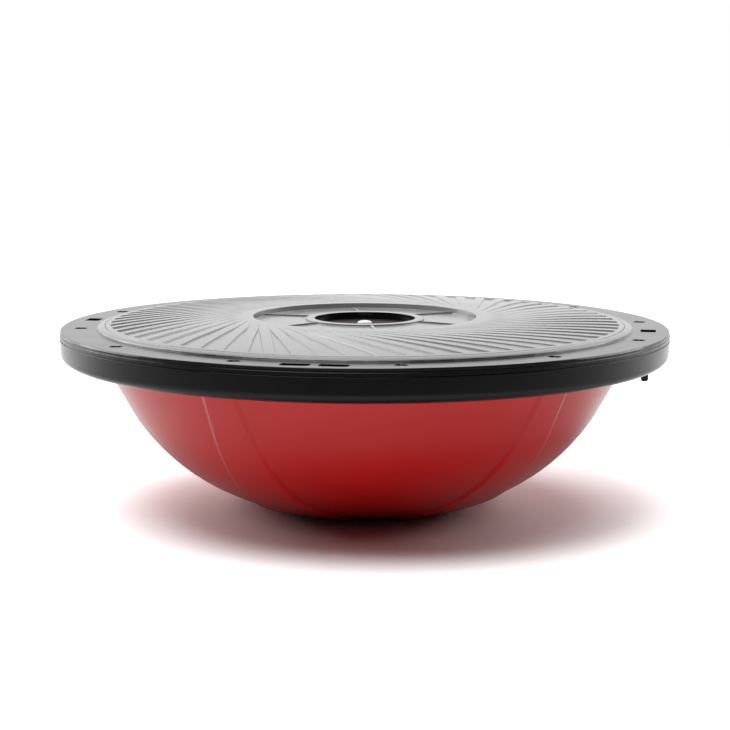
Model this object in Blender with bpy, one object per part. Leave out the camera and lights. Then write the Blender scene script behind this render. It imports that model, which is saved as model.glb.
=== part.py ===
"""Half ball balance trainer standing on its dome, platform up.

Metres, +Z up. The origin is the centre of the dome's contact patch on the floor. The strap slots lie on the Y
axis and the band anchors on the X axis. Heights of the platform are written from the face of its flat ring.
"""
import bpy
import math
from mathutils import Matrix, Vector

# Whole object
RING_HEIGHT = 0.173
RIM_RADIUS = 0.290
GAP = 0.0003
WALL = 0.0030
EASE = 0.0005
CUT_OVER = 0.0020

# Flat ring and rim of the top plate: a sloped shoulder, a set-back step and an upright band
PLATE_UNDER = -0.0045
PARTING = -0.0067
EDGE_LAND = 0.0018
EDGE_SLOPE = 0.0014
EDGE_FALL = 0.0018
EDGE_STEP = 0.0036
EDGE_BAND = 0.0009
EDGE_SETBACK = 0.0001
PARTING_REVEAL = 0.0006

# Crowned board, with its plain border and the bead past a thin groove, which steps down to the flat ring
CROWN_TOP = 0.0091
CROWN_DROP = 0.0113
BOARD_UNDER = 0.0010
BOARD_EDGE = 0.2543
BORDER_WIDTH = 0.0056
GROOVE_WIDTH = 0.0010
GROOVE_DEPTH = 0.0006
BEAD_WIDTH = 0.0063
BEAD_EDGE = 0.0017
BEAD_FALL = 0.0010

# Ridges, each a straight bar whose middle line touches the circle of RIDGE_TANGENT; the valleys between them
# are narrow near the recess and deepen over RIDGE_RUN_IN
RIDGES = 62
RIDGE_TANGENT = 0.1001
RIDGE_WIDTH = 0.0089
RIDGE_HEIGHT = 0.0013
RIDGE_DRAFT = 0.0009
VALLEY_LEAST = 0.0022
RIDGE_PHASE = math.radians(2.24)
RIDGE_RUN_IN = 0.0250
RIDGE_RUN_OUT = 0.0010

# Centre recess
HOLE_RADIUS = 0.0483
LIP_WIDTH = 0.0085
LIP_TOP = 0.0066
RECESS_RADIUS = 0.1072
RECESS_FLOOR = 0.0050
RECESS_FOOT = 0.0039
RECESS_SLANT = 0.0010
PLAIN_BAND = 0.0128
SPOKES = 6
SPOKE_TURN = math.radians(45)
SPOKE_WIDTH = 0.0024
SPOKE_HEIGHT = 0.0013

# Screws
SCREWS = 12
SCREW_INSET = 0.0200
SCREW_TURN = math.radians(15)
HEAD_RADIUS = 0.0030
HEAD_HEIGHT = 0.0023
HEAD_CHAMFER = 0.0010
HEAD_CLEARANCE = 0.0021
HEAD_TURN_STEP = math.radians(40)
COUNTERBORE_DEPTH = 0.0028
SHANK_RADIUS = 0.0020
SHANK_LENGTH = 0.0180
CROSS_LENGTH = 0.0034
CROSS_WIDTH = 0.0009
CROSS_DEPTH = 0.0009
POST_WALL = 0.0029

# Strap slots and band anchors
STRAP_SLOT = (0.0256, 0.0150)
STRAP_CORNER = 0.0045
STRAP_INSET = 0.0180
STRAP_SPREAD = 0.0161
ANCHOR_SLOT = (0.0138, 0.0200)
ANCHOR_CORNER = 0.0015
ANCHOR_INSET = 0.0205
ANCHOR_HEAD_DEPTH = 0.0026
ANCHOR_HEAD_HEIGHT = 0.0026
ANCHOR_SIDE_GAP = 0.0006
BOW_SETBACK = 0.0024
BOW_THICK = 0.0071
BOW_BAR = 0.0050
BOW_CORNER = 0.0024
BOW_DROP = 0.0161

# Clamp ring
CLAMP_WIDTH = 0.0404
CLAMP_UNDER = -0.0323
CURL_START = -0.0212
CURL_WIDTH = 0.0230
WALL_LEAN = 0.0010

# Dome: a straight flank at DOME_TILT from upright, then one curve that meets the floor at DOME_FOOT
SKIN = 0.0025
DOME_TOP = -0.0303
FLANGE_REACH = 0.0062
FLANGE_THICK = 0.0044
PATCH_RADIUS = 0.062
DOME_TILT = math.radians(29.2)
FLANK_LENGTH = 0.0531
SHOULDER_PULL = 0.0173
BELLY_PULL = 0.1067
DOME_FOOT = math.radians(4.2)
BANDS = 5
BAND_TURN = math.radians(-111.6)
BAND_HEIGHT = 0.0014
BAND_HALF_TOP = 0.0180
BAND_SPREAD = 0.121
BAND_BEVEL = 0.0015
FIELD_LEAST = math.radians(6)
VALVE_RADIUS = 0.0046
VALVE_BOSS = 0.0120
VALVE_DEPTH = 0.0090

# Air plug
CAP_RADIUS = 0.0070
CAP_HEIGHT = 0.0030
CAP_SIDE = 0.0014
PLUG_LENGTH = 0.0170
PLUG_TAPER = 0.0070
PLUG_TIP_RADIUS = 0.0030

# Fineness of the round shapes
SEGMENTS = 2 * RIDGES
INNER_SEGMENTS = RIDGES
ROUND_STEPS = 16
BORE_STEPS = 10
PLUG_STEPS = 24
CURL_STEPS = 5
FLANK_STEPS = 3
BELLY_STEPS = 9
BAND_STEPS = 3
BAND_SECTOR = 18

# Places that follow from the sizes above
BEAD_INNER = BOARD_EDGE - BEAD_WIDTH
RIDGE_START = RECESS_RADIUS + PLAIN_BAND
RIDGE_END = BEAD_INNER - BORDER_WIDTH
SCREW_CIRCLE = RIM_RADIUS - SCREW_INSET
STRAP_CIRCLE = RIM_RADIUS - STRAP_INSET
ANCHOR_CIRCLE = RIM_RADIUS - ANCHOR_INSET
BOW_CIRCLE = ANCHOR_CIRCLE - BOW_SETBACK
CLAMP_INNER = RIM_RADIUS - CLAMP_WIDTH
MEMBRANE_TOP = BOARD_UNDER - GAP
FLANGE_TOP = PLATE_UNDER - GAP
FLANGE_FOOT = FLANGE_TOP - FLANGE_THICK
NECK = CLAMP_INNER - GAP
TURN = 2 * math.pi


def clear_scene():
    for item in list(bpy.data.objects):
        bpy.data.objects.remove(item, do_unlink=True)


def material(name, colour, roughness, metallic=0.0):
    made = bpy.data.materials.new(name)
    made.use_nodes = True
    shader = made.node_tree.nodes["Principled BSDF"]
    shader.inputs["Base Color"].default_value = (*colour, 1.0)
    shader.inputs["Roughness"].default_value = roughness
    shader.inputs["Metallic"].default_value = metallic
    return made


def at(radius, angle, height):
    return Vector((radius * math.cos(angle), radius * math.sin(angle), height))


def circle(radius, height, steps, turn=0.0):
    """One ring of points round the Z axis; a radius of zero gives a single point."""
    if radius == 0:
        return [Vector((0, 0, height))]
    return [at(radius, turn + TURN * i / steps, height) for i in range(steps)]


def stitch(faces, lower, upper, lower_count, upper_count):
    """Faces between two rings whose counts are equal or in a whole ratio."""
    if lower_count == upper_count:
        for i in range(lower_count):
            j = (i + 1) % lower_count
            faces.append((lower + i, lower + j, upper + j, upper + i))
        return
    flip = lower_count > upper_count
    few, many = (upper, lower) if flip else (lower, upper)
    few_count, many_count = min(lower_count, upper_count), max(lower_count, upper_count)
    ratio = many_count // few_count
    for i in range(few_count):
        j = (i + 1) % few_count
        half = ratio // 2 if few_count > 1 else ratio
        for step in range(ratio):
            owner = few + (i if step < half else j)
            a = many + i * ratio + step
            b = many + (i * ratio + step + 1) % many_count
            faces.append((owner, a, b) if flip else (owner, b, a))
        if few_count > 1:
            middle = many + (i * ratio + half) % many_count
            faces.append((few + j, few + i, middle) if flip else (few + i, few + j, middle))


def loft_body(rings, looped=False):
    """(points, faces) through rings that run anticlockwise from above, the outer side first and downward."""
    points = []
    starts = []
    for ring in rings:
        starts.append(len(points))
        points.extend(ring)
    faces = []
    pairs = list(zip(range(len(rings) - 1), range(1, len(rings))))
    if looped:
        pairs.append((len(rings) - 1, 0))
    for a, b in pairs:
        if len(rings[a]) > 1 or len(rings[b]) > 1:
            stitch(faces, starts[b], starts[a], len(rings[b]), len(rings[a]))
    return points, faces


def lathe_body(profile, steps):
    """(points, faces) of (radius, height) pairs that run down the outer side, revolved about Z."""
    return loft_body([circle(radius, height, steps) for radius, height in profile])


def prism(outline, low, high):
    """(points, faces) of an upright prism over an anticlockwise outline."""
    count = len(outline)
    points = [Vector((x, y, z)) for z in (low, high) for x, y in outline]
    sides = [(i, (i + 1) % count, count + (i + 1) % count, count + i) for i in range(count)]
    return points, [tuple(reversed(range(count))), tuple(range(count, 2 * count))] + sides


def rectangle(length, width):
    x, y = length / 2, width / 2
    return [(x, y), (-x, y), (-x, -y), (x, -y)]


def rounded_rectangle(length, width, corner, steps=3):
    outline = []
    for quarter, (sx, sy) in enumerate(((1, 1), (-1, 1), (-1, -1), (1, -1))):
        for step in range(steps + 1):
            angle = math.pi / 2 * (quarter + step / steps)
            outline.append((sx * (length / 2 - corner) + corner * math.cos(angle),
                            sy * (width / 2 - corner) + corner * math.sin(angle)))
    return outline


def placed(body, centre, turn=0.0):
    """The body turned about Z, then moved to centre."""
    points, faces = body
    spin = Matrix.Rotation(turn, 3, "Z")
    return [spin @ point + Vector(centre) for point in points], faces


def gather(name, bodies):
    """One object from several (points, faces) bodies."""
    points = []
    faces = []
    for body_points, body_faces in bodies:
        base = len(points)
        points.extend(body_points)
        faces.extend(tuple(base + i for i in face) for face in body_faces)
    mesh = bpy.data.meshes.new(name)
    mesh.from_pydata([tuple(point) for point in points], [], faces)
    mesh.update()
    made = bpy.data.objects.new(name, mesh)
    bpy.context.scene.collection.objects.link(made)
    return made


def boolean(target, other, operation):
    other.hide_render = True
    other.display_type = "WIRE"
    change = target.modifiers.new(other.name, "BOOLEAN")
    change.operation = operation
    change.solver = "EXACT"
    change.object = other


def finish(item, surface, sharp=30):
    """Shades the piece, gives it its material and lifts it from the ring's frame to the floor's."""
    for polygon in item.data.polygons:
        polygon.use_smooth = True
    item.data.set_sharp_from_angle(angle=math.radians(sharp))
    item.data.materials.append(surface)
    item.location.z += RING_HEIGHT
    for change in item.modifiers:
        if change.type == "BOOLEAN":
            change.object.location.z += RING_HEIGHT
    return item


def crown(radius):
    """Height of the ridge tops over the flat ring."""
    return CROWN_TOP - CROWN_DROP * (radius / RIM_RADIUS) ** 4


def recess_floor(radius):
    """Height of the recess's floor, which slopes down from the lip to the foot of the wall."""
    lip = HOLE_RADIUS + LIP_WIDTH
    share = (radius - lip) / (RECESS_RADIUS - RECESS_SLANT - lip)
    return RECESS_FLOOR - (RECESS_FLOOR - RECESS_FOOT) * share


def board_under(radius):
    """Height of the board's underside, which the membrane follows."""
    share = (radius ** 2 - RECESS_RADIUS ** 2) / (RIDGE_END ** 2 - RECESS_RADIUS ** 2)
    return BOARD_UNDER - (BOARD_UNDER - PLATE_UNDER) * min(max(share, 0.0), 1.0)


def board_stations():
    """Two radii between the recess and the end of the ridges, for the board's underside and the membrane."""
    step = (RIDGE_END - RECESS_RADIUS) / 3
    return [RECESS_RADIUS + step, RECESS_RADIUS + 2 * step]


def ridge_angle(index, radius, offset):
    """Angle at which a line beside ridge number index crosses the radius; offset is from its middle line."""
    return RIDGE_PHASE + TURN * index / RIDGES + math.acos((RIDGE_TANGENT + offset) / radius)


def chord(radius):
    """Length of a ridge's middle line from where it touches its circle out to the radius."""
    return math.sqrt(radius ** 2 - RIDGE_TANGENT ** 2)


def valley_sides(index, radius):
    """Angles of the two sides of the valley after ridge number index, which never close to under VALLEY_LEAST."""
    start = ridge_angle(index, radius, -RIDGE_WIDTH / 2)
    end = ridge_angle(index + 1, radius, RIDGE_WIDTH / 2)
    middle = (start + end) / 2
    half = max((end - start) / 2, VALLEY_LEAST / 2 / chord(radius))
    return middle - half, middle + half


def valley_depth(radius):
    return RIDGE_HEIGHT * min((radius - RIDGE_START) / RIDGE_RUN_IN, 1)


def ridge_ring(radius, depth):
    """Four points for each valley: its near side, the two edges of its floor and its far side."""
    top = crown(radius)
    foot = RIDGE_DRAFT / chord(radius)
    ring = []
    for index in range(RIDGES):
        start, end = valley_sides(index, radius)
        ring += [at(radius, start, top), at(radius, start + foot, top - depth),
                 at(radius, end - foot, top - depth), at(radius, end, top)]
    return ring


def centre_profile():
    """The hole's wall, its raised lip, the recess and the plain band of the board."""
    lip_outer = HOLE_RADIUS + LIP_WIDTH
    middle = RECESS_RADIUS + PLAIN_BAND / 2
    return [
        (HOLE_RADIUS, BOARD_UNDER),
        (HOLE_RADIUS, LIP_TOP - EASE),
        (HOLE_RADIUS + EASE, LIP_TOP),
        (lip_outer - EASE, LIP_TOP),
        (lip_outer, RECESS_FLOOR),
        (RECESS_RADIUS - RECESS_SLANT, RECESS_FOOT),
        (RECESS_RADIUS, crown(RECESS_RADIUS) - EASE),
        (RECESS_RADIUS + EASE, crown(RECESS_RADIUS)),
        (middle, crown(middle)),
    ]


def outside_profile():
    """The border, the thin groove, the bead, the flat ring and the rim's stepped edge."""
    edge = RIM_RADIUS - EDGE_LAND
    step = RIM_RADIUS - EDGE_BAND
    return [
        (BEAD_INNER - GROOVE_WIDTH, crown(BEAD_INNER - GROOVE_WIDTH)),
        (BEAD_INNER - GROOVE_WIDTH / 2, crown(BEAD_INNER) - GROOVE_DEPTH),
        (BEAD_INNER, crown(BEAD_INNER)),
        (BOARD_EDGE - 2 * EASE, BEAD_EDGE + EASE),
        (BOARD_EDGE, BEAD_EDGE),
        (BOARD_EDGE + BEAD_FALL / 2, EASE),
        (BOARD_EDGE + BEAD_FALL, 0.0),
        (edge, 0.0),
        (edge + EDGE_SLOPE, -EDGE_FALL),
        (step, -EDGE_FALL - EASE / 2),
        (step, -EDGE_STEP),
        (RIM_RADIUS - EDGE_SETBACK, -EDGE_STEP - EASE / 2),
        (RIM_RADIUS - EDGE_SETBACK, PARTING),
    ]


def plate_rings():
    """Rings of the top plate from the foot of its centre hole over the top and back along the underside."""
    inner_turn = valley_sides(0, RIDGE_START)[0]
    outer_turn = valley_sides(0, RIDGE_END)[0]
    rings = [circle(radius, height, INNER_SEGMENTS, inner_turn) for radius, height in centre_profile()]
    full = RIDGE_START + RIDGE_RUN_IN
    last = RIDGE_END - RIDGE_RUN_OUT
    for radius in (RIDGE_START, RIDGE_START + RIDGE_RUN_IN / 3, full, (full + last) / 2, last):
        rings.append(ridge_ring(radius, valley_depth(radius)))
    rings.append(ridge_ring(RIDGE_END, 0.0))
    rings += [circle(radius, height, SEGMENTS, outer_turn) for radius, height in outside_profile()]
    near, far = board_stations()
    under = [
        (RIM_RADIUS - WALL, PARTING),
        (RIM_RADIUS - WALL - EASE, PLATE_UNDER),
        (RIDGE_END, PLATE_UNDER),
        (far, board_under(far)),
        (near, board_under(near)),
        (RECESS_RADIUS, BOARD_UNDER),
    ]
    rings += [circle(radius, height, INNER_SEGMENTS, outer_turn) for radius, height in under]
    return rings


def screw_places():
    return [SCREW_TURN + TURN * i / SCREWS for i in range(SCREWS)]


def screw_hole_bodies():
    """Stepped cutters for the counterbores and the holes under them."""
    hole = SHANK_RADIUS + GAP
    counterbore = HEAD_RADIUS + HEAD_CLEARANCE
    profile = [(0, CUT_OVER), (counterbore, CUT_OVER), (counterbore, -COUNTERBORE_DEPTH),
               (hole, -COUNTERBORE_DEPTH), (hole, PLATE_UNDER - CUT_OVER), (0, PLATE_UNDER - CUT_OVER)]
    cutter = lathe_body(profile, ROUND_STEPS)
    return [placed(cutter, at(SCREW_CIRCLE, place, 0)) for place in screw_places()]


def slot_bodies():
    """Cutters for the two pairs of strap slots and the two anchor slots."""
    low, high = PLATE_UNDER - CUT_OVER, CUT_OVER
    strap = prism(rounded_rectangle(*STRAP_SLOT, STRAP_CORNER), low, high)
    anchor = prism(rounded_rectangle(*ANCHOR_SLOT, ANCHOR_CORNER), low, high)
    bodies = []
    for side in (-1, 1):
        bodies.append(placed(anchor, (side * ANCHOR_CIRCLE, 0, 0)))
        for place in (-1, 1):
            bodies.append(placed(strap, (place * STRAP_SPREAD, side * STRAP_CIRCLE, 0)))
    return bodies


def spoke_bodies():
    """Low radial ribs that run from inside the lip into the wall of the recess."""
    inner = HOLE_RADIUS + LIP_WIDTH - 2 * EASE
    outer = RECESS_RADIUS + 2 * EASE
    rib = prism(rectangle(outer - inner, SPOKE_WIDTH), -2 * EASE, SPOKE_HEIGHT)
    for point in rib[0]:
        point.z += recess_floor((inner + outer) / 2 + point.x)
    turns = [SPOKE_TURN + TURN * i / SPOKES for i in range(SPOKES)]
    return [placed(rib, at((inner + outer) / 2, turn, 0), turn) for turn in turns]


def top_plate(surface):
    plate = gather("top_plate", [loft_body(plate_rings(), looped=True)])
    boolean(plate, gather("spoke_bodies", spoke_bodies()), "UNION")
    boolean(plate, gather("plate_cutters", screw_hole_bodies() + slot_bodies()), "DIFFERENCE")
    return finish(plate, surface)


def clamp_rings():
    """Rings of the open channel: outer wall, curled floor and the inner wall that holds the dome's flange."""
    top = PARTING - GAP
    seat = FLANGE_FOOT - GAP
    curl_centre = RIM_RADIUS - WALL_LEAN - CURL_WIDTH
    curl_depth = CURL_START - CLAMP_UNDER
    floor = CLAMP_UNDER + WALL
    reveal = RIM_RADIUS - EDGE_BAND
    outer = [(reveal, top), (reveal, top - PARTING_REVEAL), (RIM_RADIUS, top - PARTING_REVEAL)]
    for step in range(CURL_STEPS + 1):
        angle = math.pi / 2 * step / CURL_STEPS
        outer.append((curl_centre + CURL_WIDTH * math.cos(angle), CURL_START - curl_depth * math.sin(angle)))
    outer += [(CLAMP_INNER + 2 * EASE, CLAMP_UNDER), (CLAMP_INNER, CLAMP_UNDER + 2 * EASE), (CLAMP_INNER, seat)]
    inner = [
        (CLAMP_INNER + WALL, seat),
        (CLAMP_INNER + WALL, floor),
        (curl_centre, floor),
        (curl_centre + CURL_WIDTH / 2, floor + (CURL_START - floor) / 4),
        (RIM_RADIUS - WALL_LEAN - WALL, CURL_START),
        (RIM_RADIUS - WALL, top),
    ]
    rings = [circle(radius, height, SEGMENTS) for radius, height in outer]
    return rings + [circle(radius, height, INNER_SEGMENTS) for radius, height in inner]


def clamp_ring(surface):
    ring = gather("clamp_ring", [loft_body(clamp_rings(), looped=True)])
    foot = CLAMP_UNDER + WALL / 2
    post = SHANK_RADIUS + GAP + POST_WALL
    post_body = lathe_body([(0, FLANGE_TOP), (post, FLANGE_TOP), (post, foot), (0, foot)], ROUND_STEPS)
    seat = -ANCHOR_HEAD_DEPTH - ANCHOR_HEAD_HEIGHT - GAP
    seat_body = prism(rectangle(ANCHOR_SLOT[0] + WALL, ANCHOR_SLOT[1] + WALL), foot, seat)
    bore = SHANK_RADIUS + GAP
    bore_foot = -COUNTERBORE_DEPTH - SHANK_LENGTH - CUT_OVER
    bore_top = FLANGE_TOP + CUT_OVER
    bore_body = lathe_body([(0, bore_top), (bore, bore_top), (bore, bore_foot), (0, bore_foot)], BORE_STEPS)
    width = ANCHOR_SLOT[1] - 2 * ANCHOR_SIDE_GAP + 2 * GAP
    leg_body = prism(rectangle(BOW_THICK + 2 * GAP, width), CLAMP_UNDER - CUT_OVER, seat + CUT_OVER)
    places = [at(SCREW_CIRCLE, place, 0) for place in screw_places()]
    posts = [placed(post_body, place) for place in places]
    bores = [placed(bore_body, place) for place in places]
    for side in (-1, 1):
        posts.append(placed(seat_body, (side * ANCHOR_CIRCLE, 0, 0)))
        bores.append(placed(leg_body, (side * BOW_CIRCLE, 0, 0)))
    boolean(ring, gather("post_bodies", posts), "UNION")
    boolean(ring, gather("ring_cutters", bores), "DIFFERENCE")
    return finish(ring, surface)


def dome_profile():
    """(radius, height) of the dome's outer face from the clamp ring down to the edge of the contact patch."""
    start = Vector((NECK, DOME_TOP))
    down = Vector((-math.sin(DOME_TILT), -math.cos(DOME_TILT)))
    shoulder = start + FLANK_LENGTH * down
    patch = Vector((PATCH_RADIUS, -RING_HEIGHT))
    pulls = (shoulder, shoulder + SHOULDER_PULL * down,
             patch + BELLY_PULL * Vector((math.cos(DOME_FOOT), math.sin(DOME_FOOT))), patch)
    profile = [start + (shoulder - start) * step / FLANK_STEPS for step in range(FLANK_STEPS)]
    for step in range(BELLY_STEPS):
        t = step / BELLY_STEPS
        weights = ((1 - t) ** 3, 3 * t * (1 - t) ** 2, 3 * t * t * (1 - t), t ** 3)
        profile.append(sum((weight * pull for weight, pull in zip(weights, pulls)), Vector((0, 0))))
    return [tuple(point) for point in profile]


def profile_normals(profile):
    """Unit outward normal at each point of a profile that runs down the outer side."""
    normals = []
    for i in range(len(profile)):
        before = profile[max(i - 1, 0)]
        after = profile[min(i + 1, len(profile) - 1)]
        run = Vector((after[0] - before[0], after[1] - before[1])).normalized()
        normals.append((-run.y, run.x))
    return normals


def band_half(radius):
    """Half the width of a raised band, which grows towards the crown of the dome."""
    return BAND_HALF_TOP + (CLAMP_INNER - radius) * BAND_SPREAD


def dome_ring(radius, height, normal=(1, 0), rise=0.0):
    """One ring of the dome, its bands lifted by rise along the normal of the profile and always apart."""
    ring = []
    bevel = BAND_BEVEL / radius
    half = min(band_half(radius) / radius, TURN / BANDS / 2 - bevel - FIELD_LEAST / 2)
    field_steps = BAND_SECTOR - BAND_STEPS - 2
    for sector in range(BANDS):
        middle = BAND_TURN + TURN * sector / BANDS
        ring.append(at(radius, middle - half - bevel, height))
        for step in range(BAND_STEPS + 1):
            angle = middle - half + 2 * half * step / BAND_STEPS
            ring.append(at(radius + rise * normal[0], angle, height + rise * normal[1]))
        start = middle + half + bevel
        end = middle + TURN / BANDS - half - bevel
        for step in range(field_steps):
            ring.append(at(radius, start + (end - start) * step / field_steps, height))
    return ring


def dome_outer_rings(profile, normals, even, few):
    """From the valve's mouth over the membrane, round the flange and down to the centre of the patch."""
    membrane = [(VALVE_BOSS, MEMBRANE_TOP), (RECESS_RADIUS, MEMBRANE_TOP)]
    membrane += [(radius, board_under(radius) - GAP) for radius in board_stations()]
    flange = [(RIDGE_END - 2 * EASE, FLANGE_TOP), (NECK + FLANGE_REACH, FLANGE_TOP),
              (NECK + FLANGE_REACH, FLANGE_FOOT), (NECK, FLANGE_FOOT)]
    rings = [circle(VALVE_RADIUS, MEMBRANE_TOP, few, BAND_TURN)]
    rings += [circle(radius, height, even, BAND_TURN) for radius, height in membrane]
    rings += [dome_ring(radius, height) for radius, height in flange]
    for i, (radius, height) in enumerate(profile):
        rings.append(dome_ring(radius, height, normals[i], BAND_HEIGHT if i > 0 else 0.0))
    rings.append(dome_ring(PATCH_RADIUS, -RING_HEIGHT))
    rings.append(circle(0, -RING_HEIGHT, even))
    return rings


def dome_inner_rings(profile, normals, even, few):
    """From the centre of the patch up the inside of the skin to the foot of the valve."""
    inside = [(radius - SKIN * normal[0], height - SKIN * normal[1])
              for (radius, height), normal in zip(profile, normals)]
    far = board_stations()[1]
    inner = [(0, SKIN - RING_HEIGHT), (PATCH_RADIUS, SKIN - RING_HEIGHT)]
    inner += list(reversed(inside[1:]))
    inner += [
        (NECK - SKIN, DOME_TOP),
        (NECK - SKIN, FLANGE_FOOT + EASE),
        (far, board_under(far) - GAP - SKIN),
        (RECESS_RADIUS, MEMBRANE_TOP - SKIN),
        (VALVE_BOSS + SKIN, MEMBRANE_TOP - SKIN),
        (VALVE_BOSS, MEMBRANE_TOP - VALVE_DEPTH),
    ]
    rings = [circle(radius, height, even, BAND_TURN) for radius, height in inner]
    return rings + [circle(VALVE_RADIUS, MEMBRANE_TOP - VALVE_DEPTH, few, BAND_TURN)]


def dome(surface):
    """The inflated skin: dome, flange and membrane in one moulding, open at the valve."""
    profile = dome_profile()
    normals = profile_normals(profile)
    even = BANDS * BAND_SECTOR // 2
    few = even // 3
    rings = dome_outer_rings(profile, normals, even, few) + dome_inner_rings(profile, normals, even, few)
    return finish(gather("dome", [loft_body(rings, looped=True)]), surface)


def air_plug(surface):
    """Round cap over a stem that tapers into the valve."""
    seat = MEMBRANE_TOP + GAP
    stem = VALVE_RADIUS - GAP
    dome_rise = CAP_HEIGHT - CAP_SIDE
    profile = [(0, seat + CAP_HEIGHT)]
    for share in (0.55, 0.86):
        profile.append((CAP_RADIUS * share, seat + CAP_SIDE + dome_rise * math.sqrt(1 - share ** 2)))
    profile += [
        (CAP_RADIUS, seat + CAP_SIDE),
        (CAP_RADIUS, seat + EASE),
        (CAP_RADIUS - EASE, seat),
        (stem, seat),
        (stem, seat - PLUG_LENGTH + PLUG_TAPER),
        (PLUG_TIP_RADIUS, seat - PLUG_LENGTH),
        (0, seat - PLUG_LENGTH),
    ]
    return finish(gather("air_plug", [lathe_body(profile, PLUG_STEPS)]), surface)


def cross_outline():
    """A plus sign, anticlockwise."""
    long, short = CROSS_LENGTH / 2, CROSS_WIDTH / 2
    return [(long, short), (short, short), (short, long), (-short, long), (-short, short), (-long, short),
            (-long, -short), (-short, -short), (-short, -long), (short, -long), (short, -short), (long, -short)]


def screw(index, place, surface):
    """Pan-head screw with a cross recess, its head down in the counterbore."""
    head_foot = -COUNTERBORE_DEPTH + GAP
    head_top = head_foot + HEAD_HEIGHT
    profile = [
        (0, head_top),
        (HEAD_RADIUS - HEAD_CHAMFER, head_top),
        (HEAD_RADIUS, head_top - HEAD_CHAMFER),
        (HEAD_RADIUS, head_foot),
        (SHANK_RADIUS, head_foot),
        (0, head_foot - SHANK_LENGTH),
    ]
    name = f"screw_{index + 1:02d}"
    made = gather(name, [lathe_body(profile, ROUND_STEPS)])
    cutter = gather(f"{name}_cross", [prism(cross_outline(), head_top - CROSS_DEPTH, head_top + EASE)])
    boolean(made, cutter, "DIFFERENCE")
    for item in (made, cutter):
        item.location = at(SCREW_CIRCLE, place, 0)
        item.rotation_euler.z = place + index * HEAD_TURN_STEP
    return finish(made, surface)


def bow_body():
    """A rounded bar swept down one leg, round the bottom and up the other, centred on the bow's middle plane."""
    half = ANCHOR_SLOT[1] / 2 - ANCHOR_SIDE_GAP - BOW_BAR / 2
    start = -ANCHOR_HEAD_DEPTH - ANCHOR_HEAD_HEIGHT / 2
    bend = CLAMP_UNDER - BOW_DROP + BOW_BAR / 2 + half
    bends = 10
    path = [(-half, start, 0.0)]
    for step in range(bends + 1):
        angle = math.pi * step / bends
        path.append((-half * math.cos(angle), bend - half * math.sin(angle), angle))
    path.append((half, start, math.pi))
    section = rounded_rectangle(BOW_THICK, BOW_BAR, BOW_CORNER, 2)
    points = []
    for across, height, angle in path:
        for radial, side in section:
            points.append(Vector((radial, across - side * math.cos(angle), height - side * math.sin(angle))))
    count = len(section)
    faces = [tuple(reversed(range(count))), tuple(range((len(path) - 1) * count, len(path) * count))]
    for base in range(0, (len(path) - 1) * count, count):
        for i in range(count):
            j = (i + 1) % count
            faces.append((base + i, base + j, base + count + j, base + count + i))
    return points, faces


def band_anchor(name, side, surface):
    """Eye for a resistance band: a flat head in the plate's slot over a bow that hangs below the rim."""
    length = ANCHOR_SLOT[0] - 2 * ANCHOR_SIDE_GAP
    width = ANCHOR_SLOT[1] - 2 * ANCHOR_SIDE_GAP
    outline = rounded_rectangle(length, width, ANCHOR_CORNER - ANCHOR_SIDE_GAP / 2)
    body = prism(outline, -ANCHOR_HEAD_DEPTH - ANCHOR_HEAD_HEIGHT, -ANCHOR_HEAD_DEPTH)
    head = gather(name, [placed(body, (BOW_SETBACK, 0, 0))])
    bow = gather(f"{name}_bow", [bow_body()])
    boolean(head, bow, "UNION")
    for item in (head, bow):
        item.location = (side * BOW_CIRCLE, 0, 0)
        item.rotation_euler.z = 0 if side > 0 else math.pi
    return finish(head, surface)


def main():
    clear_scene()
    top_plate(material("grey plastic of the plate", (0.26, 0.26, 0.265), 0.45))
    clamp_ring(material("black plastic of the clamp ring", (0.012, 0.012, 0.013), 0.30))
    dome(material("red vinyl of the dome", (0.42, 0.010, 0.012), 0.38))
    air_plug(material("white plastic of the plug", (0.82, 0.82, 0.80), 0.35))
    for index, place in enumerate(screw_places()):
        screw(index, place, material(f"dark steel of screw {index + 1}", (0.10, 0.10, 0.11), 0.35, 1.0))
    for name, side in (("right", 1), ("left", -1)):
        band_anchor(f"band_anchor_{name}", side,
                    material(f"black plastic of the {name} anchor", (0.010, 0.010, 0.011), 0.28))


main()
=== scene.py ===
"""Looks of the half ball balance trainer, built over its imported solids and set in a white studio.

Metres, +Z up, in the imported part's own frame. Heights of the platform are written from the face of its flat
ring and lifted by RING_HEIGHT, as in the part's source.
"""
import math

import bpy
from mathutils import Matrix, Vector


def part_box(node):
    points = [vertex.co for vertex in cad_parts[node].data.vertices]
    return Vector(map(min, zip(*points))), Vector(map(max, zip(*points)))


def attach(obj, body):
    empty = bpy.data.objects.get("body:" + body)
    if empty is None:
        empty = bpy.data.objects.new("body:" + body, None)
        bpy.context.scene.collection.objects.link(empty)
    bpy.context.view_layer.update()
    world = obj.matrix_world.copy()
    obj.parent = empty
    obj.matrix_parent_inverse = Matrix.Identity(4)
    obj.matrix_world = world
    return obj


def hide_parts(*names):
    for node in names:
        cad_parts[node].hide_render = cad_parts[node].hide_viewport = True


# Camera, its sensor width and focal length in millimetres
SENSOR = 36
LENS = 89.31
CAMERA_PLACE = (0.2611, -1.7103, 0.384)
CAMERA_TILT = math.radians(81.765)
CAMERA_TURN = math.radians(8.68)
CAMERA_ROLL = math.radians(0.125)
CAMERA_SHIFT = (0.00035, 0.0007)

# Studio lights: each one's turn to the left of the camera, its height over the horizon, its width and
# its strength
KEY_LIGHT = (math.radians(60), math.radians(76), math.radians(46), 2.6)
LEFT_LIGHT = (math.radians(120), math.radians(30), math.radians(40), 1.2)
RIGHT_LIGHT = (math.radians(-115), math.radians(30), math.radians(40), 1.0)
STRIP_LIGHT = (math.radians(131), math.radians(2), math.radians(36), 0.34)

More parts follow.
